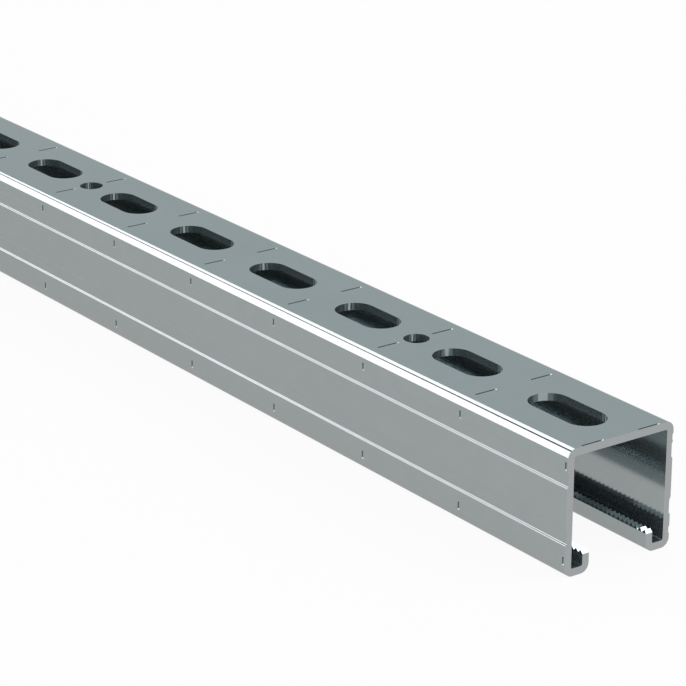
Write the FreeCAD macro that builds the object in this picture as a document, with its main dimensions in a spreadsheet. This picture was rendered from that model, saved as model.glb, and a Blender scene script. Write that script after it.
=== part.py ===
import FreeCAD, Part
import math
import os
import re

import Sketcher

# Slotted strut channel, 41 mm square: one length of cold roll-formed steel strip.
# X runs along the length, Y across the channel and Z up. The web is on top and the
# two curled lips are below, with the mouth between them. The origin is midway along
# the length and midway between the flanges, on the plane under the lips.

SHEET = "Sizes"

# Driving dimensions in millimetres. Heights are taken from the plane under the lips.
SIZES = {
    "stock_length": "1000",
    "channel_width": "41",
    "channel_height": "41",
    "wall": "2.5",
    "outer_bend": "3",
    "inner_bend": "0.6",
    "mouth_width": "22.4",
    "lip_height": "7.2",
    "tooth_pitch": "2",
    "tooth_depth": "1",
    "groove_depth": "0.5",
    "groove_width": "4.9",
    "groove_flank": "0.8",
    "groove_low": "13.2",
    "groove_high": "31.5",
    "hole_pitch": "200",
    "slot_pitch": "50",
    "slot_length": "30",
    "slot_width": "13.5",
    "slot_trim": "2.6",
    "hole_diameter": "8.5",
}

# Expressions that several features share
SIDE = "channel_width / 2"
LIP_FACE = "mouth_width / 2"
BLANK_TOP = "lip_height + tooth_depth / 2"
LENGTH_END = "stock_length / 2"

COMB_TEETH = 10  # Teeth that one cut makes

# A sketch's names for the points of a line, an arc or a circle, and for its own X axis,
# whose start is the sketch's origin
START, END, CENTRE = range(1, 4)
X_AXIS = -1

SAME_PLACE = 1e-6  # Points nearer than this are one point


def cell(text):
    """Expression with the sheet's name before each alias."""
    return re.sub(r"[a-z_]+", lambda m: f"{SHEET}.{m[0]}" if m[0] in SIZES else m[0], text)


def value_of(owner, text):
    """Present value of an expression, in millimetres."""
    value = owner.evalExpression(cell(text))
    return float(getattr(value, "Value", value))


def make_sheet(doc):
    """Spreadsheet of the driving dimensions, one alias a row."""
    sheet = doc.addObject("Spreadsheet::Sheet", SHEET)
    for row, (alias, number) in enumerate(SIZES.items(), start=1):
        sheet.set(f"A{row}", alias)
        sheet.set(f"B{row}", number)
        sheet.setAlias(f"B{row}", alias)
    doc.recompute()


def origin_feature(body, role):
    """Plane or axis of the body's own origin."""
    return next(f for f in body.Origin.OriginFeatures if f.Role == role)


def new_sketch(body, name, role):
    """Sketch on one of the body's origin planes."""
    sketch = body.newObject("Sketcher::SketchObject", name)
    sketch.AttachmentSupport = (origin_feature(body, role), [""])
    sketch.MapMode = "FlatFace"
    return sketch


def bind(sketch, kind, geometry, point, text):
    """Holds a point at an expression, measured from the sketch's origin."""
    value = value_of(sketch, text)
    if value > 0:
        ends = (X_AXIS, START, geometry, point, value)
    else:
        ends = (geometry, point, X_AXIS, START, -value)
        text = f"-({text})"
    index = sketch.addConstraint(Sketcher.Constraint(kind, *ends))
    sketch.setExpression(f"Constraints[{index}]", cell(text))


def bind_radius(sketch, geometry, text):
    """Holds an arc or a circle at the radius that an expression gives."""
    constraint = Sketcher.Constraint("Radius", geometry, value_of(sketch, text))
    index = sketch.addConstraint(constraint)
    sketch.setExpression(f"Constraints[{index}]", cell(text))


def hold_on_axis(sketch, geometry, point):
    """Holds a point on the sketch's X axis."""
    sketch.addConstraint(Sketcher.Constraint("PointOnObject", geometry, point, X_AXIS))


def draw_outline(sketch, corners):
    """Closed outline of straight lines, each corner a pair of expressions."""
    points = [FreeCAD.Vector(value_of(sketch, x), value_of(sketch, y), 0) for x, y in corners]
    ends = points[1:] + points[:1]
    lines = [sketch.addGeometry(Part.LineSegment(a, b)) for a, b in zip(points, ends)]
    for line, after in zip(lines, lines[1:] + lines[:1]):
        sketch.addConstraint(Sketcher.Constraint("Coincident", line, END, after, START))
    for line, (x, y) in zip(lines, corners):
        bind(sketch, "DistanceX", line, START, x)
        if y == "0":
            hold_on_axis(sketch, line, START)
        else:
            bind(sketch, "DistanceY", line, START, y)


def mirrored(corners):
    """The same corners across the sketch's upright axis, in the same turning sense."""
    return [(f"-({x})", y) for x, y in reversed(corners)]


def make_section(body):
    """Open section of the strip with square corners and untoothed lips, run along the length."""
    sketch = new_sketch(body, "SectionSketch", "YZ_Plane")
    right = [
        (SIDE, "channel_height"),
        (SIDE, "0"),
        (LIP_FACE, "0"),
        (LIP_FACE, BLANK_TOP),
        (f"{LIP_FACE} + wall", BLANK_TOP),
        (f"{LIP_FACE} + wall", "wall"),
        (f"{SIDE} - wall", "wall"),
        (f"{SIDE} - wall", "channel_height - wall"),
    ]
    draw_outline(sketch, right + mirrored(right))
    pad = body.newObject("PartDesign::Pad", "Strip")
    pad.Profile = sketch
    pad.Midplane = True
    pad.setExpression("Length", cell("stock_length"))
    return pad


def long_edges(feature, corners):
    """Names of the edges along the length that pass through the given corners."""
    names = []
    for number, edge in enumerate(feature.Shape.Edges, start=1):
        start, end = edge.Vertexes[0].Point, edge.Vertexes[-1].Point
        if abs(start.x - end.x) < SAME_PLACE:
            continue
        for x, y in corners:
            across, up = value_of(feature, x), value_of(feature, y)
            if abs(abs(start.y) - across) + abs(start.z - up) < SAME_PLACE:
                names.append(f"Edge{number}")
    return names


def round_bends(body, base, name, corners, radius):
    """Rolls both flanks' bends at the given corners to one radius."""
    body.Document.recompute()
    fillet = body.newObject("PartDesign::Fillet", name)
    fillet.Base = (base, long_edges(base, corners))
    fillet.setExpression("Radius", cell(radius))
    return fillet


def cut(body, name, sketch, depth=None, both_ways=False):
    """Pocket from a sketch to a depth, or right through where none is given.

    It runs below the sketch, or as far on both its sides.
    """
    pocket = body.newObject("PartDesign::Pocket", name)
    pocket.Profile = sketch
    pocket.Midplane = both_ways
    if depth is None:
        pocket.Type = "ThroughAll"
    else:
        pocket.setExpression("Length", cell(depth))
    return pocket


def repeat_along(body, name, feature, step, count):
    """Copies a cut from the +X end towards the other, a step apart."""
    pattern = body.newObject("PartDesign::LinearPattern", name)
    pattern.Originals = [feature]
    pattern.Direction = (origin_feature(body, "X_Axis"), [""])
    pattern.Reversed = True
    pattern.setExpression("Length", cell(f"{step} * ({count} - 1)"))
    pattern.setExpression("Occurrences", cell(count))
    body.Tip = pattern


def make_grooves(body):
    """Two shallow rolled grooves with sloping flanks along the outside of each flange."""
    sketch = new_sketch(body, "GrooveSketch", "YZ_Plane")
    floor = f"{SIDE} - groove_depth"
    floor_half = "(groove_width - groove_flank) / 2"
    rim_half = "(groove_width + groove_flank) / 2"
    for middle in ("groove_low", "groove_high"):
        right = [
            (floor, f"{middle} + {floor_half}"),
            (floor, f"{middle} - {floor_half}"),
            (SIDE, f"{middle} - {rim_half}"),
            (SIDE, f"{middle} + {rim_half}"),
        ]
        draw_outline(sketch, right)
        draw_outline(sketch, mirrored(right))
    cut(body, "Grooves", sketch, both_ways=True)


def draw_slot(sketch, middle, low_trim="0", high_trim="0"):
    """Obround slot on the centre line of the web, shortened at either end by a trim."""
    low = f"{middle} - slot_length / 2 + {low_trim} + slot_width / 2"
    high = f"{middle} + slot_length / 2 - {high_trim} - slot_width / 2"
    left, right, radius = (value_of(sketch, text) for text in (low, high, "slot_width / 2"))
    upward = FreeCAD.Vector(0, 0, 1)
    quarter = math.pi / 2
    right_circle = Part.Circle(FreeCAD.Vector(right, 0, 0), upward, radius)
    left_circle = Part.Circle(FreeCAD.Vector(left, 0, 0), upward, radius)
    top_line = Part.LineSegment(FreeCAD.Vector(left, radius, 0), FreeCAD.Vector(right, radius, 0))
    foot_line = Part.LineSegment(FreeCAD.Vector(right, -radius, 0), FreeCAD.Vector(left, -radius, 0))
    top = sketch.addGeometry(top_line)
    right_end = sketch.addGeometry(Part.ArcOfCircle(right_circle, -quarter, quarter))
    foot = sketch.addGeometry(foot_line)
    left_end = sketch.addGeometry(Part.ArcOfCircle(left_circle, quarter, 3 * quarter))
    joins = [
        (top, END, right_end, END),
        (right_end, START, foot, START),
        (foot, END, left_end, END),
        (left_end, START, top, START),
    ]
    for join in joins:
        sketch.addConstraint(Sketcher.Constraint("Tangent", *join))
    hold_on_axis(sketch, right_end, CENTRE)
    hold_on_axis(sketch, left_end, CENTRE)
    bind_radius(sketch, right_end, "slot_width / 2")
    bind(sketch, "DistanceX", left_end, CENTRE, low)
    bind(sketch, "DistanceX", right_end, CENTRE, high)


def draw_hole(sketch, middle):
    """Round hole on the centre line of the web."""
    place = FreeCAD.Vector(value_of(sketch, middle), 0, 0)
    radius = value_of(sketch, "hole_diameter / 2")
    circle = sketch.addGeometry(Part.Circle(place, FreeCAD.Vector(0, 0, 1), radius))
    hold_on_axis(sketch, circle, CENTRE)
    bind_radius(sketch, circle, "hole_diameter / 2")
    bind(sketch, "DistanceX", circle, CENTRE, middle)


def make_punching(body):
    """Slots and small holes of the web: one stroke of the punch, repeated along the strip.

    A stroke has a small hole in the middle and two slots on each side of it. The slots
    beside the small hole are shorter at their ends towards it.
    """
    sketch = new_sketch(body, "PunchSketch", "XY_Plane")
    sketch.setExpression(".AttachmentOffset.Base.z", cell("channel_height"))
    hole = f"{LENGTH_END} - hole_pitch / 2"
    draw_hole(sketch, hole)
    draw_slot(sketch, f"{hole} + 3 * slot_pitch / 2")
    draw_slot(sketch, f"{hole} + slot_pitch / 2", low_trim="slot_trim")
    draw_slot(sketch, f"{hole} - slot_pitch / 2", high_trim="slot_trim")
    draw_slot(sketch, f"{hole} - 3 * slot_pitch / 2")
    stroke = cut(body, "PunchStroke", sketch, depth="channel_height / 2")
    repeat_along(body, "Punching", stroke, "hole_pitch", "round(stock_length / hole_pitch)")


def make_teeth(body):
    """Toothed edges of both lips, cut into their blanks by a comb stepped along the strip.

    The comb reaches halfway from each lip to its flange, and the strip's end is in a gap
    between two teeth.
    """
    sketch = new_sketch(body, "CombSketch", "XZ_Plane")
    root = "lip_height - tooth_depth"
    above = f"{BLANK_TOP} + tooth_depth"
    corners = [(LENGTH_END, above), (LENGTH_END, root)]
    for tooth in range(COMB_TEETH):
        corners.append((f"{LENGTH_END} - {tooth + 0.5} * tooth_pitch", "lip_height"))
        corners.append((f"{LENGTH_END} - {tooth + 1} * tooth_pitch", root))
    corners.append((f"{LENGTH_END} - {COMB_TEETH} * tooth_pitch", above))
    draw_outline(sketch, corners)
    comb = cut(body, "CombCut", sketch, depth=f"{LIP_FACE} + {SIDE}", both_ways=True)
    comb_length = f"{COMB_TEETH} * tooth_pitch"
    repeat_along(body, "Teeth", comb, comb_length, f"ceil(stock_length / ({comb_length}))")


def build_channel(doc):
    """The whole channel as one body."""
    body = doc.addObject("PartDesign::Body", "Channel")
    body.Label = "channel"
    strip = make_section(body)
    outer_corners = [(SIDE, "channel_height"), (SIDE, "0"), (LIP_FACE, "0")]
    outer = round_bends(body, strip, "OuterBends", outer_corners, "outer_bend")
    inner_corners = [
        (f"{SIDE} - wall", "channel_height - wall"),
        (f"{SIDE} - wall", "wall"),
        (f"{LIP_FACE} + wall", "wall"),
    ]
    round_bends(body, outer, "InnerBends", inner_corners, "inner_bend")
    doc.recompute()
    volumes = [body.Shape.Volume]
    for make in (make_grooves, make_punching, make_teeth):
        make(body)
        doc.recompute()
        volumes.append(body.Shape.Volume)
    if any(after >= before for before, after in zip(volumes, volumes[1:])):
        raise RuntimeError(f"a cut took nothing away: {volumes}")
    return body


def check(doc, bodies):
    """Stops when any object of the document failed, or a body is not one sound solid."""
    for item in doc.Objects:
        if {"Invalid", "Error"} & set(item.State):
            raise RuntimeError(f"{item.Name} did not build: {item.State}")
    for body in bodies:
        if body.Shape.isNull() or not body.Shape.isValid() or len(body.Shape.Solids) != 1:
            raise RuntimeError(f"{body.Label} is not one valid solid")


def main():
    """Builds the document and writes each body's shape to the parts folder."""
    doc = FreeCAD.newDocument("StrutChannel")
    make_sheet(doc)
    bodies = [build_channel(doc)]
    check(doc, bodies)
    os.makedirs("parts", exist_ok=True)
    for body in bodies:
        body.Shape.exportStep(f"parts/{body.Label}.step")
        box = body.Shape.BoundBox
        print(f"{body.Label}: {body.Shape.Volume:.0f} mm3, {len(body.Shape.Faces)} faces")
        for axis in "XYZ":
            low, high = getattr(box, f"{axis}Min"), getattr(box, f"{axis}Max")
            print(f"{axis} {low:.2f} to {high:.2f}")


main()
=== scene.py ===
import logging
import math
from dataclasses import dataclass
from enum import Enum

import bmesh
import bpy
from mathutils import Matrix, Quaternion, Vector


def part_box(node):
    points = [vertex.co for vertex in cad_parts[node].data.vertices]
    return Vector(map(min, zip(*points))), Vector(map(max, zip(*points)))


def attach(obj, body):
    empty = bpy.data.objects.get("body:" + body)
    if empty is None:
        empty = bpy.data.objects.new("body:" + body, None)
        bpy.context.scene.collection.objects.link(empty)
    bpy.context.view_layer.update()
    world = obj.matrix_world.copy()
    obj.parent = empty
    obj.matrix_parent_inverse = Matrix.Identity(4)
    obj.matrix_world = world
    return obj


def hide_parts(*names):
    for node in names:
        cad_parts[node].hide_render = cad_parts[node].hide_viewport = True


# Looks of a slotted strut channel, in metres. X runs along the length, Y across the
# channel and Z up, with the web on top, the lips below and the origin midway along the
# length on the plane under the lips. The camera looks at the cut end on +X.

MM = 0.001
WHITE = (1.0, 1.0, 1.0, 1.0)
LOG = logging.getLogger("strut_channel")

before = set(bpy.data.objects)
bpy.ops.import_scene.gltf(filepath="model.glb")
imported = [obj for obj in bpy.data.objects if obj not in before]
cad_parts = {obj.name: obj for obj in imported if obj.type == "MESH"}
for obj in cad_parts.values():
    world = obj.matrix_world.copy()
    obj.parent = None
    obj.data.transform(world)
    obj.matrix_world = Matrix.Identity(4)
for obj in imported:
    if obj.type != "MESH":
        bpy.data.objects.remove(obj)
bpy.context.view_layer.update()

Pair = tuple[float, float]
Triple = tuple[float, float, float]
Quad = tuple[float, float, float, float]
Pattern = tuple[object, object, object]
Sockets = dict[str | int, object]


class Flank(Enum):
    """The two halves of the channel, by the side of Y that each is on."""

    NEAR = -1
    FAR = 1


class Graph:
    """Adds nodes to a tree in few words: a value on a socket is set, and a socket is linked."""

    def __init__(self, tree: bpy.types.NodeTree) -> None:
        """Takes over a tree and empties it."""
        self.tree = tree
        self.tree.nodes.clear()

    def add(self, kind: str, inputs: Sockets | None = None, **settings: object) -> bpy.types.Node:
        """Adds one node.

        Args:
            kind: The node's type, as Blender names it.
            inputs: A value, or another node's output, for each input by its name or number.
            settings: The node's own properties.

        Returns:
            The new node.
        """
        node = self.tree.nodes.new(kind)
        for name, value in settings.items():
            setattr(node, name, value)
        for socket, value in (inputs or {}).items():
            if isinstance(value, bpy.types.NodeSocket):
                self.tree.links.new(value, node.inputs[socket])
            else:
                node.inputs[socket].default_value = value
        return node

    def math(self, operation: str, *values: object) -> bpy.types.NodeSocket:
        """Result of one Math node."""
        return self.add("ShaderNodeMath", dict(enumerate(values)), operation=operation).outputs[0]

    def weighted(self, *shares: tuple[object, float]) -> object:
        """Sum of values, each times its share.

        Args:
            shares: The values, each with its share.

        Returns:
            The socket that holds the sum.
        """
        total = 0.0
        for value, share in shares:
            total = self.math("MULTIPLY_ADD", value, share, total)
        return total

    def step(self, value: object, low: float, high: float, start: float = 0.0, end: float = 1.0) -> object:
        """Smooth change from one value to another.

        Args:
            value: What the change follows.
            low: Where it begins.
            high: Where it ends, which may be under low.
            start: Value up to low.
            end: Value from high on.

        Returns:
            The socket that holds the result.
        """
        ends = {"Value": value, 1: low, 2: high, 3: start, 4: end}
        return self.add("ShaderNodeMapRange", ends, interpolation_type="SMOOTHSTEP").outputs[0]

    def band(self, value: object, edges: Quad) -> object:
        """Band with soft edges.

        Args:
            value: What the band follows.
            edges: Where it begins, is full, is full no more and ends.

        Returns:
            The socket that holds 1 inside the band and 0 outside it.
        """
        start, full, last, end = edges
        return self.math("MULTIPLY", self.step(value, start, full), self.step(value, end, last))

    def blend(self, factor: object, first: object, second: object) -> object:
        """Mix of two colours, the first at a factor of 0 and the second at 1."""
        colours = {"Factor": factor, 6: first, 7: second}
        return self.add("ShaderNodeMix", colours, data_type="RGBA").outputs[2]

    def noise(self, place: object, size: float, detail: float) -> object:
        """Noise of about one value for each length.

        Args:
            place: The coordinates that it follows.
            size: The length that one blotch takes.
            detail: Finer noise on top, in octaves.

        Returns:
            The socket that holds it.
        """
        inputs = {"Vector": place, "Scale": 1 / size, "Detail": detail}
        return self.add("ShaderNodeTexNoise", inputs).outputs[0]


def opaque(colour: Triple) -> Quad:
    """Colour as a socket takes it."""
    return (*colour, 1.0)


def new_material(name: str) -> tuple[bpy.types.Material, Graph]:
    """Makes a material with nothing in it yet.

    Args:
        name: The material's name.

    Returns:
        The material and its graph.
    """
    material = bpy.data.materials.new(name)
    material.use_nodes = True
    return material, Graph(material.node_tree)


@dataclass(frozen=True)
class Corner:
    """Corner of the rolled section, with the radius that it is bent to."""

    across: float
    up: float
    bend: float = 0.0


@dataclass(frozen=True)
class Section:
    """Sizes of the rolled section. Heights are from the plane under the lips.

    A groove has a steep lower flank, as wide as groove_flank, and a gentle upper one, as wide
    as groove_slope, and groove_width is from the middle of one to the middle of the other.
    Bends are made of facets. Edges sharper than crease_facets of them stay sharp, and a face
    is flat when it is within a facet's part, one in flat_parts, of a flat face's direction.
    """

    width: float
    height: float
    wall: float = 2.5 * MM
    outer_bend: float = 3.0 * MM
    inner_bend: float = 0.6 * MM
    mouth: float = 22.4 * MM
    lip_height: float = 7.2 * MM
    tooth_pitch: float = 2.0 * MM
    tooth_depth: float = 1.0 * MM
    lip_bevel: float = 0.35 * MM
    groove_depth: float = 0.47 * MM
    groove_width: float = 4.9 * MM
    groove_flank: float = 0.342 * MM
    groove_slope: float = 1.0 * MM
    groove_bend: float = 0.35 * MM
    groove_middles: Pair = (31.5 * MM, 13.2 * MM)
    facet: float = math.radians(6)
    crease_facets: int = 4
    flat_parts: int = 6

    @property
    def side(self) -> float:
        """Distance of a flange's outer face from the middle."""
        return self.width / 2

    @property
    def lip_face(self) -> float:
        """Distance of a lip's face from the middle."""
        return self.mouth / 2

    def half(self) -> list[Corner]:
        """Corners of the +Y half.

        Returns:
            The corners, from the web's outer face round to its inner face.
        """
        side, lip, wall = self.side, self.lip_face, self.wall
        tooth_root = self.lip_height - self.tooth_depth
        blank_top = self.lip_height + self.tooth_depth
        corners = [Corner(side, self.height, self.outer_bend)]
        for middle in self.groove_middles:
            upper, lower = middle + self.groove_width / 2, middle - self.groove_width / 2
            corners += [
                Corner(side, upper + self.groove_slope / 2, self.groove_bend),
                Corner(side - self.groove_depth, upper - self.groove_slope / 2, self.groove_bend),
                Corner(side - self.groove_depth, lower + self.groove_flank / 2, self.groove_bend),
                Corner(side, lower - self.groove_flank / 2, self.groove_bend),
            ]
        corners += [
            Corner(side, 0, self.outer_bend),
            Corner(lip, 0, self.outer_bend),
            Corner(lip, tooth_root),
            Corner(lip + 2 * self.lip_bevel, blank_top),
            Corner(lip + wall, blank_top),
            Corner(lip + wall, wall, self.inner_bend),
            Corner(side - wall, wall, self.inner_bend),
            Corner(side - wall, self.height - wall, self.inner_bend),
        ]
        return corners

    def outline(self) -> list[Vector]:
        """Closed outline of the section.

        Returns:
            Its points in order, with each bend as an arc of short facets.
        """
        right = self.half()
        left = [Corner(-c.across, c.up, c.bend) for c in reversed(right)]
        corners = right + left
        points = []
        for before, corner, after in zip(corners[-1:] + corners[:-1], corners, corners[1:] + corners[:1]):
            points += self.bent(before, corner, after)
        return points

    def bent(self, before: Corner, corner: Corner, after: Corner) -> list[Vector]:
        """Points of one corner.

        Args:
            before: The corner before it.
            corner: The corner.
            after: The corner after it.

        Returns:
            The corner itself, or the points of its bend.
        """
        place = Vector((corner.across, corner.up))
        if not corner.bend:
            return [place]
        back = (Vector((before.across, before.up)) - place).normalized()
        ahead = (Vector((after.across, after.up)) - place).normalized()
        half = back.angle(ahead) / 2
        centre = place + (back + ahead).normalized() * corner.bend / math.sin(half)
        first = place + back * corner.bend / math.tan(half) - centre
        sweep = math.copysign(math.pi - 2 * half, ahead.cross(back))
        steps = round(abs(sweep) / self.facet)
        return [centre + Matrix.Rotation(sweep * step / steps, 2) @ first for step in range(steps + 1)]

    def flat_normals(self) -> list[Vector]:
        """Directions of the flat faces.

        Returns:
            The six along the axes, and those of the lips' bevels and the teeth.
        """
        bevel = Vector((0, self.tooth_depth, self.lip_bevel)).normalized()
        tooth = Vector((self.tooth_depth, 0, self.tooth_pitch / 2)).normalized()
        signs = (-1, 1)
        axes = [Vector(sign * (row == column) for column in range(3)) for row in range(3) for sign in signs]
        slopes = [Vector((0, y * bevel.y, bevel.z)) for y in signs]
        slopes += [Vector((x * tooth.x, 0, tooth.z)) for x in signs]
        return axes + slopes

    def shade(self, mesh: bpy.types.Mesh) -> None:
        """Shades the bends and the round ends smooth, and leaves flat faces flat.

        Args:
            mesh: The finished mesh.
        """
        mesh.set_sharp_from_angle(angle=self.facet * self.crease_facets)
        flats = self.flat_normals()
        nearly = math.cos(self.facet / self.flat_parts)
        for face in mesh.polygons:
            face.use_smooth = all(face.normal.dot(flat) < nearly for flat in flats)


def mesh_object(name: str, mesh: bpy.types.Mesh) -> bpy.types.Object:
    """Links a mesh into the scene as an object at the origin.

    Args:
        name: The object's name.
        mesh: Its mesh.

    Returns:
        The object.
    """
    piece = bpy.data.objects.new(name, mesh)
    bpy.context.scene.collection.objects.link(piece)
    return piece


def skin_rings(mesh: bmesh.types.BMesh, rings: list[list[Vector]]) -> None:
    """Closed tube through rings of as many points each, capped at both ends.

    Args:
        mesh: The mesh that the tube is added to.
        rings: The points of each ring, in order round it.
    """
    placed = [[mesh.verts.new(point) for point in ring] for ring in rings]
    for low, high in zip(placed, placed[1:]):
        for index in range(len(low)):
            mesh.faces.new((low[index - 1], low[index], high[index], high[index - 1]))
    mesh.faces.new(placed[0][::-1])
    mesh.faces.new(placed[-1])


def finished_mesh(name: str, mesh: bmesh.types.BMesh) -> bpy.types.Mesh:
    """Plain mesh of a closed solid, with its faces outwards.

    Args:
        name: The mesh's name.
        mesh: The solid, which is freed.

    Returns:
        The mesh.
    """
    bmesh.ops.recalc_face_normals(mesh, faces=mesh.faces)
    plain = bpy.data.meshes.new(name)
    mesh.to_mesh(plain)
    mesh.free()
    return plain


class CutterTree:
    """Geometry Nodes tree with named inputs, which makes a cutter in its finish."""

    def __init__(self, name: str, kinds: dict[str, str]) -> None:
        """Starts the tree.

        Args:
            name: The tree's name.
            kinds: The socket type of each input but the finish, by the input's name.
        """
        self.tree = bpy.data.node_groups.new(name, "GeometryNodeTree")
        sockets = self.tree.interface
        sockets.new_socket("Cutter", in_out="OUTPUT", socket_type="NodeSocketGeometry")
        self.inputs = {
            label: sockets.new_socket(label, in_out="INPUT", socket_type=f"NodeSocket{kind}").identifier
            for label, kind in (kinds | {"Finish": "Material"}).items()
        }
        self.graph = Graph(self.tree)
        self.given = self.graph.add("NodeGroupInput").outputs

    def end(self, shape: object) -> None:
        """Ends the tree.

        Args:
            shape: The socket of the shape, which comes out as real geometry in the given finish.
        """
        real = self.graph.add("GeometryNodeRealizeInstances", {0: shape}).outputs[0]
        finish = {"Geometry": real, "Material": self.given["Finish"]}
        dressed = self.graph.add("GeometryNodeSetMaterial", finish)
        self.graph.add("NodeGroupOutput", {0: dressed.outputs[0]})

    def apply(self, cutter: bpy.types.Object, values: dict[str, object]) -> None:
        """Turns an object into what the tree makes of it.

        Args:
            cutter: The object that the tree starts from.
            values: The tree's inputs, by their names.
        """
        modifier = cutter.modifiers.new(self.tree.name, "NODES")
        modifier.node_group = self.tree
        for name, value in values.items():
            modifier[self.inputs[name]] = value


class RowTree(CutterTree):
    """Tree that repeats a cutter, made about X = 0, along the strip at its pitch."""

    def __init__(self) -> None:
        """Builds the tree once, for all the cutters."""
        kinds = {"Single": "Geometry", "Count": "Int", "First": "Float", "Pitch": "Float"}
        super().__init__("row_of_cuts", kinds)
        graph, given = self.graph, self.given
        start = graph.add("ShaderNodeCombineXYZ", {"X": given["First"]}).outputs[0]
        step = graph.add("ShaderNodeCombineXYZ", {"X": given["Pitch"]}).outputs[0]
        spots = {"Count": given["Count"], "Start Location": start, "Offset": step}
        row = graph.add("GeometryNodeMeshLine", spots, mode="OFFSET").outputs[0]
        copies = graph.add("GeometryNodeInstanceOnPoints", {"Points": row, "Instance": given["Single"]})
        self.end(copies.outputs[0])


class CombTree(CutterTree):
    """Tree that makes the comb whose zigzag underside cuts the lips' teeth."""

    weld = 0.001 * MM

    def __init__(self) -> None:
        """Builds the tree, with a valley of the teeth at each end of the strip."""
        kinds = dict.fromkeys(("Length", "Reach", "Pitch", "Depth", "Root", "Rise"), "Float")
        super().__init__("lip_comb", {"Blank": "Geometry"} | kinds)
        graph, given = self.graph, self.given
        half_pitch = graph.math("DIVIDE", given["Pitch"], 2.0)
        overrun = graph.math("ADD", given["Length"], graph.math("MULTIPLY", given["Pitch"], 2.0))
        flanks = graph.math("ROUND", graph.math("DIVIDE", overrun, half_pitch))
        size = {
            "Size X": overrun,
            "Size Y": given["Reach"],
            "Vertices X": graph.math("ADD", flanks, 1.0),
            "Vertices Y": 2,
        }
        sheet = graph.add("GeometryNodeMeshGrid", size).outputs[0]
        place = graph.add("GeometryNodeInputPosition").outputs[0]
        along = graph.add("ShaderNodeSeparateXYZ", {0: place}).outputs[0]
        from_end = graph.math("SUBTRACT", graph.math("DIVIDE", given["Length"], 2.0), along)
        wave = graph.math("PINGPONG", from_end, half_pitch)
        slope = graph.math("DIVIDE", given["Depth"], half_pitch)
        height = graph.math("MULTIPLY_ADD", wave, slope, given["Root"])
        lift = graph.add("ShaderNodeCombineXYZ", {"Z": height}).outputs[0]
        under = graph.add("GeometryNodeSetPosition", {"Geometry": sheet, "Offset": lift}).outputs[0]
        rise = graph.add("ShaderNodeCombineXYZ", {"Z": given["Rise"]}).outputs[0]
        up = {"Mesh": under, "Offset": rise, "Individual": False}
        upper = graph.add("GeometryNodeExtrudeMesh", up, mode="FACES").outputs[0]
        lower = graph.add("GeometryNodeFlipFaces", {0: under}).outputs[0]
        both = graph.add("GeometryNodeJoinGeometry")
        for half in (lower, upper):
            self.tree.links.new(half, both.inputs[0])
        seams = {"Geometry": both.outputs[0], "Distance": self.weld}
        closed = graph.add("GeometryNodeMergeByDistance", seams)
        self.end(closed.outputs[0])


@dataclass(frozen=True)
class MetalFinish:
    """What the metal's finishes share: a dark mirror with a faint pattern of lines and grain.

    The tone varies by tone_spread to both sides with the pattern's shade, the roughness goes
    from smooth to dull as the pattern's gloss goes through gloss_range, and the pattern's
    height stands relief proud.
    """

    name: str
    tone: Triple
    tone_spread: float
    metal: float
    edge_tint: Triple
    smooth: float
    dull: float
    gloss_range: Pair
    grain_size: float
    grain_detail: float
    line_size: float
    line_length: float
    line_detail: float
    relief: float

    @property
    def stretch(self) -> float:
        """Width of a line over its length."""
        return self.line_size / self.line_length

    def pattern(self, graph: Graph, place: object) -> Pattern:
        """Pattern of the surface.

        Args:
            graph: The material's graph.
            place: The coordinates that the pattern follows.

        Returns:
            The sockets of its shade, its gloss and its height.
        """
        raise NotImplementedError

    def lines(self, graph: Graph, place: object, scale: Triple) -> object:
        """Noise drawn out into lines, along the axis that the scale makes short."""
        along = graph.add("ShaderNodeMapping", {0: place, "Scale": scale}).outputs[0]
        return graph.noise(along, self.line_size, self.line_detail)

    def toned(self, level: float) -> Quad:
        """Tone at a level, where 1 is the tone itself."""
        return opaque(tuple(part * level for part in self.tone))

    def build(self) -> bpy.types.Material:
        """Makes the material.

        Returns:
            The material.
        """
        material, graph = new_material(self.name)
        place = graph.add("ShaderNodeTexCoord").outputs["Object"]
        shade, gloss, height = self.pattern(graph, place)
        darker, lighter = self.toned(1 - self.tone_spread), self.toned(1 + self.tone_spread)
        bump = graph.add("ShaderNodeBump", {"Height": height, "Distance": self.relief, "Strength": 1.0})
        surface = {
            "Base Color": graph.blend(shade, darker, lighter),
            "Metallic": self.metal,
            "Roughness": graph.step(gloss, *self.gloss_range, self.smooth, self.dull),
            "Specular Tint": opaque(self.edge_tint),
            "Normal": bump.outputs[0],
        }
        shader = graph.add("ShaderNodeBsdfPrincipled", surface).outputs[0]
        graph.add("ShaderNodeOutputMaterial", {"Surface": shader})
        return material


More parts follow.
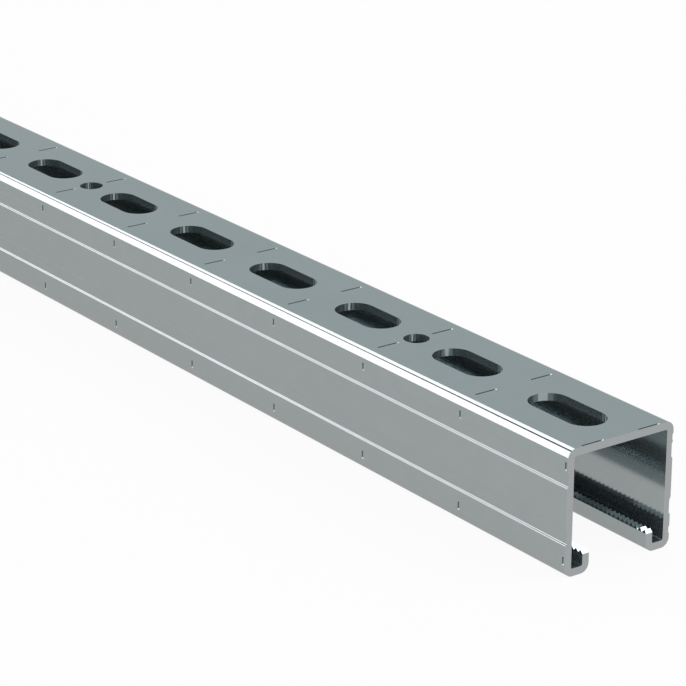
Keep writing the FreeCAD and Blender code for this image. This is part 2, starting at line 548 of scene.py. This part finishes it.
@dataclass(frozen=True)
class GalvanisedSkin(MetalFinish):
    """Smooth zinc skin of the rolled strip: faint roll lines, clouds, crystals and grain."""

    name: str = "outer_skin"
    tone: Triple = (0.31, 0.368, 0.382)
    tone_spread: float = 0.05
    metal: float = 0.82
    edge_tint: Triple = (0.69, 0.705, 0.715)
    smooth: float = 0.08
    dull: float = 0.12
    gloss_range: Pair = (0.3, 0.7)
    grain_size: float = 0.5 * MM
    grain_detail: float = 1.0
    line_size: float = 0.45 * MM
    line_length: float = 60 * MM
    line_detail: float = 3.0
    relief: float = 0.0015 * MM
    cloud_size: float = 38 * MM
    cloud_detail: float = 2.0
    crystal_size: float = 5 * MM
    shade_shares: Triple = (0.5, 0.2, 0.3)
    gloss_shares: Pair = (0.6, 0.4)
    height_shares: Pair = (1.0, 0.5)

    def pattern(self, graph: Graph, place: object) -> Pattern:
        """Clouds and crystals under roll lines and grain.

        Args:
            graph: The material's graph.
            place: The coordinates that the pattern follows.

        Returns:
            The sockets of its shade, its gloss and its height.
        """
        clouds = graph.noise(place, self.cloud_size, self.cloud_detail)
        grain = graph.noise(place, self.grain_size, self.grain_detail)
        lines = self.lines(graph, place, (self.stretch, 1.0, 1.0))
        cells = {"Vector": place, "Scale": 1 / self.crystal_size, "Randomness": 1.0}
        colours = graph.add("ShaderNodeTexVoronoi", cells, feature="F1").outputs["Color"]
        crystals = graph.add("ShaderNodeSeparateColor", {0: colours}).outputs[0]
        shade = graph.weighted(*zip((clouds, crystals, grain), self.shade_shares))
        gloss = graph.weighted(*zip((clouds, lines), self.gloss_shares))
        height = graph.weighted(*zip((lines, grain), self.height_shares))
        return shade, gloss, height


@dataclass(frozen=True)
class PunchedEdge(GalvanisedSkin):
    """Edges that the tools left, of the slots, the holes and the teeth: darker from the side."""

    name: str = "punched_edge"
    tone: Triple = (0.31, 0.375, 0.39)
    edge_tint: Triple = (0.3, 0.36, 0.38)


@dataclass(frozen=True)
class SawnFace(MetalFinish):
    """Sawn ends: a lighter, duller face with fine upright lines from the blade."""

    name: str = "sawn_face"
    tone: Triple = (0.35, 0.394, 0.417)
    tone_spread: float = 0.03
    metal: float = 0.9
    edge_tint: Triple = (0.69, 0.705, 0.715)
    smooth: float = 0.2
    dull: float = 0.3
    gloss_range: Pair = (0.35, 0.65)
    grain_size: float = 0.35 * MM
    grain_detail: float = 2.0
    line_size: float = 0.25 * MM
    line_length: float = 8 * MM
    line_detail: float = 2.0
    relief: float = 0.001 * MM
    shares: Pair = (0.5, 0.5)

    def pattern(self, graph: Graph, place: object) -> Pattern:
        """One mix of the blade's lines and grain.

        Args:
            graph: The material's graph.
            place: The coordinates that the pattern follows.

        Returns:
            The sockets of its shade, its gloss and its height.
        """
        lines = self.lines(graph, place, (1.0, 1.0, self.stretch))
        grain = graph.noise(place, self.grain_size, self.grain_detail)
        mixed = graph.weighted(*zip((lines, grain), self.shares))
        return mixed, mixed, mixed


@dataclass
class StrutChannel:
    """The channel: a rolled strip with its web punched, its lips toothed and its marks pressed in.

    On the web, the marks lie across web_marks on each side of the middle. A station's marks
    are a little to its -X side, but not on the far flange. A slot beside a small hole ends
    slot_trim short of the others there, and a cutter stands clear of the face that it cuts.
    """

    section: Section
    length: float
    skin: bpy.types.Material
    sawn: bpy.types.Material
    punched: bpy.types.Material
    stroke_pitch: float = 200 * MM
    slot_pitch: float = 50 * MM
    slot_length: float = 30 * MM
    slot_width: float = 13.5 * MM
    slot_trim: float = 2.6 * MM
    hole_diameter: float = 8.5 * MM
    mark_pitch: float = 50 * MM
    mark_width: float = 0.7 * MM
    mark_depth: float = 0.35 * MM
    web_mark_ramp: float = 0.9 * MM
    flange_mark_ramp: float = 0.55 * MM
    web_marks: Pair = (6.8 * MM, 15.0 * MM)
    flange_mark_length: float = 2.6 * MM
    flange_mark_edge: float = 5.4 * MM
    near_mark_shift: float = 0.9 * MM
    web_mark_shift: float = 0.45 * MM
    clear: float = 1.0 * MM
    weld: float = 0.0001 * MM

    def strip(self) -> bpy.types.Object:
        """Blank of the whole length: the section swept along X, with its sawn ends in another finish.

        Returns:
            The blank as an object.
        """
        outline = self.section.outline()
        mesh = bmesh.new()
        ends = (-self.length / 2, self.length / 2)
        skin_rings(mesh, [[Vector((x, *point)) for point in outline] for x in ends])
        strip = mesh_object("strip", finished_mesh("strip", mesh))
        strip.data.materials.append(self.skin)
        strip.data.materials.append(self.sawn)
        for face in strip.data.polygons:
            face.material_index = round(abs(face.normal.x))
        return strip

    def obround(self, mesh: bmesh.types.BMesh, low: float, high: float, diameter: float) -> None:
        """Punch of a slot or a round hole, which goes through the web.

        Args:
            mesh: The mesh that the punch is added to.
            low: Lowest X of the slot.
            high: Highest X of the slot.
            diameter: Its width, which is a hole's whole length too.
        """
        radius = diameter / 2
        steps = round(math.pi / self.section.facet)
        ring = []
        for middle, start in ((high - radius, -math.pi / 2), (low + radius, math.pi / 2)):
            turns = [start + math.pi * step / steps for step in range(steps + 1)]
            ring += [(middle + radius * math.cos(turn), radius * math.sin(turn)) for turn in turns]
        top = self.section.height
        heights = (top - self.section.wall - self.clear, top + self.clear)
        skin_rings(mesh, [[Vector((*point, height)) for point in ring] for height in heights])
        bmesh.ops.remove_doubles(mesh, verts=mesh.verts, dist=self.weld)

    def punch(self) -> bpy.types.Object:
        """One stroke of the punch, about X = 0: a small hole and two slots on each side of it.

        Returns:
            The punch as an object.
        """
        mesh = bmesh.new()
        self.obround(mesh, -self.hole_diameter / 2, self.hole_diameter / 2, self.hole_diameter)
        for half_pitches in (-3, -1, 1, 3):
            middle = half_pitches * self.slot_pitch / 2
            low, high = middle - self.slot_length / 2, middle + self.slot_length / 2
            if half_pitches == 1:
                low += self.slot_trim
            if half_pitches == -1:
                high -= self.slot_trim
            self.obround(mesh, low, high, self.slot_width)
        return mesh_object("punch", finished_mesh("punch", mesh))

    def mark(
        self, mesh: bmesh.types.BMesh, place: Vector, along: Vector, out: Vector, length: float, ramp: float
    ) -> None:
        """Blade that presses one short mark: upright sides and sloping ends.

        Args:
            mesh: The mesh that the blade is added to.
            place: Middle of the mark on the surface.
            along: Direction of its length.
            out: The surface's outward direction.
            length: Its length at the surface.
            ramp: Length of each sloping end.
        """
        bottom, top = -self.mark_depth, self.clear
        rings = []
        for side in (-1, 1):
            shift = Vector((side * self.mark_width / 2, 0, 0))
            ring = []
            for level, end in ((bottom, -1), (bottom, 1), (top, 1), (top, -1)):
                reach = length / 2 + ramp * level / self.mark_depth
                ring.append(place + shift + out * level + along * end * reach)
            rings.append(ring)
        skin_rings(mesh, rings)

    def press(self) -> bpy.types.Object:
        """Blades of all the marks of one station, about X = 0, on the web and on both flanges.

        Returns:
            The blades as an object.
        """
        mesh = bmesh.new()
        top, side = self.section.height, self.section.side
        across, up = Vector((0, 1, 0)), Vector((0, 0, 1))
        start, end = self.web_marks
        for flank in Flank:
            place = Vector((-self.web_mark_shift, flank.value * (start + end) / 2, top))
            self.mark(mesh, place, across, up, end - start, self.web_mark_ramp)
            shift = self.near_mark_shift if flank is Flank.NEAR else 0
            out = across * flank.value
            for height in (self.flange_mark_edge, top - self.flange_mark_edge):
                place = Vector((-shift, flank.value * side, height))
                self.mark(mesh, place, up, out, self.flange_mark_length, self.flange_mark_ramp)
        return mesh_object("press", finished_mesh("press", mesh))

    def comb(self) -> bpy.types.Object:
        """Comb over both lips, as long as the strip.

        Returns:
            The comb as an object.
        """
        section = self.section
        comb = mesh_object("comb", bpy.data.meshes.new("comb"))
        sizes = {
            "Length": self.length,
            "Reach": section.lip_face + section.side,
            "Pitch": section.tooth_pitch,
            "Depth": section.tooth_depth,
            "Root": section.lip_height - section.tooth_depth,
            "Rise": section.tooth_depth + self.clear,
            "Finish": self.punched,
        }
        CombTree().apply(comb, sizes)
        return comb

    def rows(self) -> list[bpy.types.Object]:
        """Rows of the punch and of the press along the whole strip.

        Returns:
            The two rows as objects.
        """
        tree = RowTree()
        end = self.length / 2
        punch, press = self.punch(), self.press()
        strokes = round(self.length / self.stroke_pitch)
        first = end - self.stroke_pitch / 2 - (strokes - 1) * self.stroke_pitch
        row = {"Count": strokes, "First": first, "Pitch": self.stroke_pitch, "Finish": self.punched}
        tree.apply(punch, row)
        stations = round(self.length / self.mark_pitch) + 1
        row = {"Count": stations, "First": -end, "Pitch": self.mark_pitch, "Finish": self.skin}
        tree.apply(press, row)
        return [punch, press]

    def build(self) -> bpy.types.Object:
        """Cuts the strip and hands it over as one plain mesh.

        Returns:
            The finished channel.
        """
        rows = self.rows()
        blank = self.strip()
        cutters = [self.comb(), *rows]
        for cutter in cutters:
            cutting = blank.modifiers.new(cutter.name, "BOOLEAN")
            cutting.operation = "DIFFERENCE"
            cutting.solver = "MANIFOLD"
            cutting.material_mode = "TRANSFER"
            cutting.object = cutter
        shaped = bpy.data.meshes.new_from_object(blank.evaluated_get(bpy.context.evaluated_depsgraph_get()))
        for tool in [blank, *cutters]:
            bpy.data.objects.remove(tool)
        channel = mesh_object("channel_body", shaped)
        shaped.name = channel.name
        self.section.shade(shaped)
        return channel


@dataclass(frozen=True)
class PhotoCamera:
    """The camera, at the place from which the channel's lines meet as they should."""

    place: Triple = (1.09748, -0.53378, 0.36687)
    heading: float = math.radians(144.106)
    pitch: float = math.radians(20.457)
    roll: float = math.radians(0.194)
    focal_pixels: float = 2926.3
    frame_pixels: int = 686
    sensor_millimetres: float = 36.0
    clip: Pair = (0.01, 100.0)

    def build(self) -> bpy.types.Object:
        """Makes the camera and hands it to the scene.

        Returns:
            The camera.
        """
        data = bpy.data.cameras.new("camera")
        data.sensor_width = self.sensor_millimetres
        data.lens = self.focal_pixels / self.frame_pixels * data.sensor_width
        data.clip_start, data.clip_end = self.clip
        camera = bpy.data.objects.new("camera", data)
        level, down = math.cos(self.pitch), math.sin(self.pitch)
        look = Vector((level * math.cos(self.heading), level * math.sin(self.heading), -down))
        camera.location = self.place
        camera.rotation_mode = "QUATERNION"
        camera.rotation_quaternion = look.to_track_quat("-Z", "Y") @ Quaternion((0, 0, 1), self.roll)
        bpy.context.scene.collection.objects.link(camera)
        bpy.context.scene.camera = camera
        return camera


@dataclass(frozen=True)
class Ray:
    """What the lights in the surroundings go by, as sockets.

    The reach is the X of the ray's direction, from -1 at the strip's far end to 1. The turn is
    its angle round X in degrees, from 0 at the near side over 90 overhead to 180 at the far
    side. Once is 1 for a first reflection and 0 for any other ray.
    """

    reach: object
    turn: object
    once: object


@dataclass(frozen=True)
class Surroundings:
    """The world: white to the camera, and to the metal a pale sky and ground with two soft lights.

    The softbox is over the strip's far end, and a dark bar splits it. Beyond taper_reach the
    softbox's end comes down by softbox_taper for each whole of reach. There the bar is
    bar_half wide to each side of bar_turn, and it gets wider towards the near end by
    bar_taper. The overhead strip lights what faces other sides than the camera's. Both lights
    are seen by first reflections only, whose ray depth is under first_depth.
    """

    sky: Triple = (0.828, 0.845, 0.838)
    ground: Triple = (1.01, 0.925, 0.889)
    horizon_blur: float = 0.25
    softbox: float = 4.0
    softbox_tone: Triple = (1.0, 0.89, 0.87)
    softbox_reach: Quad = (-0.95, -0.92, -0.695, -0.655)
    softbox_start: Pair = (-13.0, -10.0)
    softbox_end: float = 128.0
    softbox_taper: float = 164.0
    taper_reach: float = -0.712
    edge_blur: float = 2.0
    bar: float = 0.0
    bar_turn: float = 75.0
    bar_half: float = 8.8
    bar_least_half: float = 5.8
    bar_taper: float = 60.0
    bar_blur: float = 2.5
    overhead: float = 3.5
    overhead_turn: Quad = (42.0, 50.0, 112.0, 120.0)
    overhead_reach: Quad = (-0.6, -0.52, 0.84, 0.92)
    first_depth: float = 2.5

    def softbox_parts(self, graph: Graph, ray: Ray) -> tuple[object, object]:
        """Softbox and the dark bar that splits it.

        Args:
            graph: The world's graph.
            ray: The ray that looks at them.

        Returns:
            The sockets that are 1 in the softbox and 1 in the bar.
        """
        nearer = graph.math("SUBTRACT", ray.reach, self.taper_reach)
        end = graph.math("MULTIPLY_ADD", nearer, self.softbox_taper, self.softbox_end)
        past_end = graph.math("SUBTRACT", ray.turn, graph.math("MINIMUM", end, self.softbox_end))
        before_end = graph.step(past_end, self.edge_blur, -self.edge_blur)
        box = graph.math("MULTIPLY", graph.step(ray.turn, *self.softbox_start), before_end)
        half = graph.math("MULTIPLY_ADD", nearer, self.bar_taper, self.bar_half)
        half = graph.math("MAXIMUM", half, self.bar_least_half)
        off = graph.math("SUBTRACT", ray.turn, self.bar_turn)
        after_start = graph.step(graph.math("ADD", off, half), -self.bar_blur, self.bar_blur)
        before_end = graph.step(graph.math("SUBTRACT", off, half), self.edge_blur, -self.edge_blur)
        bar = graph.math("MULTIPLY", after_start, before_end)
        first = graph.math("MULTIPLY", graph.band(ray.reach, self.softbox_reach), ray.once)
        lit = graph.math("MULTIPLY", graph.math("MULTIPLY", box, first), graph.math("SUBTRACT", 1.0, bar))
        return lit, graph.math("MULTIPLY", bar, first)

    def overhead_part(self, graph: Graph, ray: Ray) -> object:
        """Overhead strip.

        Args:
            graph: The world's graph.
            ray: The ray that looks at it.

        Returns:
            The socket that is 1 in the strip.
        """
        across = graph.band(ray.turn, self.overhead_turn)
        along = graph.band(ray.reach, self.overhead_reach)
        return graph.math("MULTIPLY", graph.math("MULTIPLY", across, along), ray.once)

    def build(self) -> None:
        """Makes the world and hands it to the scene."""
        world = bpy.data.worlds.new("studio")
        bpy.context.scene.world = world
        world.use_nodes = True
        graph = Graph(world.node_tree)
        direction = graph.add("ShaderNodeTexCoord").outputs["Generated"]
        reach, y, z = graph.add("ShaderNodeSeparateXYZ", {0: direction}).outputs
        turn = graph.math("DEGREES", graph.math("ARCTAN2", z, graph.math("MULTIPLY", y, -1.0)))
        rays = graph.add("ShaderNodeLightPath").outputs
        early = graph.math("LESS_THAN", rays["Ray Depth"], self.first_depth)
        ray = Ray(reach, turn, graph.math("MULTIPLY", rays["Is Glossy Ray"], early))
        lit, dark = self.softbox_parts(graph, ray)
        above = self.overhead_part(graph, ray)
        up = graph.step(z, -self.horizon_blur, self.horizon_blur)
        tone = graph.blend(up, opaque(self.ground), opaque(self.sky))
        colour = graph.blend(lit, tone, opaque(self.softbox_tone))
        strength = 1.0
        for part, level in ((lit, self.softbox), (dark, self.bar), (above, self.overhead)):
            strength = graph.math("MULTIPLY_ADD", part, level - 1, strength)
        around = graph.add("ShaderNodeBackground", {"Color": colour, "Strength": strength}).outputs[0]
        white = graph.add("ShaderNodeBackground", {"Color": WHITE, "Strength": 1.0}).outputs[0]
        plain = graph.math("MAXIMUM", rays["Is Camera Ray"], rays["Is Transmission Ray"])
        seen = graph.add("ShaderNodeMixShader", {0: plain, 1: around, 2: white}).outputs[0]
        graph.add("ShaderNodeOutputWorld", {"Surface": seen})


@dataclass(frozen=True)
class Studio:
    """White studio: a pale floor, the surroundings and one soft lamp.

    To the camera the floor is white, but for shadow_share of the light that falls on it, which
    keeps the shadow and fades out with the distance through shadow_reach.
    """

    floor_size: float = 30.0
    floor_albedo: float = 0.9
    shadow_share: float = 0.07
    shadow_reach: Pair = (0.9, 2.2)
    lamp_place: Triple = (1.45, 1.5, 1.75)
    lamp_aim: Triple = (0.5, 0.0, 0.0)
    lamp_size: float = 0.9
    lamp_power: float = 10.0

    def floor(self) -> bpy.types.Object:
        """Lays the floor.

        Returns:
            The floor.
        """
        mesh = bmesh.new()
        bmesh.ops.create_grid(mesh, x_segments=1, y_segments=1, size=self.floor_size / 2)
        floor = mesh_object("floor", finished_mesh("floor", mesh))
        material, graph = new_material("pale_floor")
        matt = graph.add("ShaderNodeBsdfDiffuse", {"Color": opaque((self.floor_albedo,) * 3)}).outputs[0]
        white = graph.add("ShaderNodeEmission", {"Color": WHITE, "Strength": 1.0}).outputs[0]
        place = graph.add("ShaderNodeTexCoord").outputs["Object"]
        away = graph.add("ShaderNodeVectorMath", {0: place}, operation="LENGTH").outputs["Value"]
        plain = graph.step(away, *self.shadow_reach, 1 - self.shadow_share, 1.0)
        rays = graph.add("ShaderNodeLightPath").outputs
        seen = graph.math("MULTIPLY", plain, rays["Is Camera Ray"])
        shown = graph.add("ShaderNodeMixShader", {0: seen, 1: matt, 2: white}).outputs[0]
        graph.add("ShaderNodeOutputMaterial", {"Surface": shown})
        floor.data.materials.append(material)
        floor.visible_glossy = False
        return floor

    def lamp(self) -> bpy.types.Object:
        """Hangs the lamp off the cut end on the far side, where it whitens the first teeth.

        Returns:
            The lamp.
        """
        data = bpy.data.lights.new("key", "AREA")
        data.shape = "SQUARE"
        data.size = self.lamp_size
        data.energy = self.lamp_power
        lamp = bpy.data.objects.new("key", data)
        lamp.location = self.lamp_place
        lamp.rotation_mode = "QUATERNION"
        lamp.rotation_quaternion = (Vector(self.lamp_aim) - lamp.location).to_track_quat("-Z", "Y")
        lamp.visible_camera = False
        bpy.context.scene.collection.objects.link(lamp)
        return lamp

    def build(self) -> None:
        """Sets up the floor, the surroundings and the lamp, and the plain view of colours."""
        self.floor()
        Surroundings().build()
        self.lamp()
        bpy.context.scene.view_settings.view_transform = "Standard"


def main() -> None:
    """Builds the finishes, the channel, the studio and the camera, in that order."""
    logging.basicConfig(level=logging.INFO, format="%(message)s")
    low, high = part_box("channel")
    size = high - low
    section = Section(width=size.y, height=size.z)
    skin, punched, sawn = GalvanisedSkin().build(), PunchedEdge().build(), SawnFace().build()
    channel = StrutChannel(section, size.x, skin, sawn, punched).build()
    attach(channel, "root")
    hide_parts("channel")
    LOG.info("%s: %d faces", channel.name, len(channel.data.polygons))
    Studio().build()
    PhotoCamera().build()


if __name__ == "__main__":
    main()
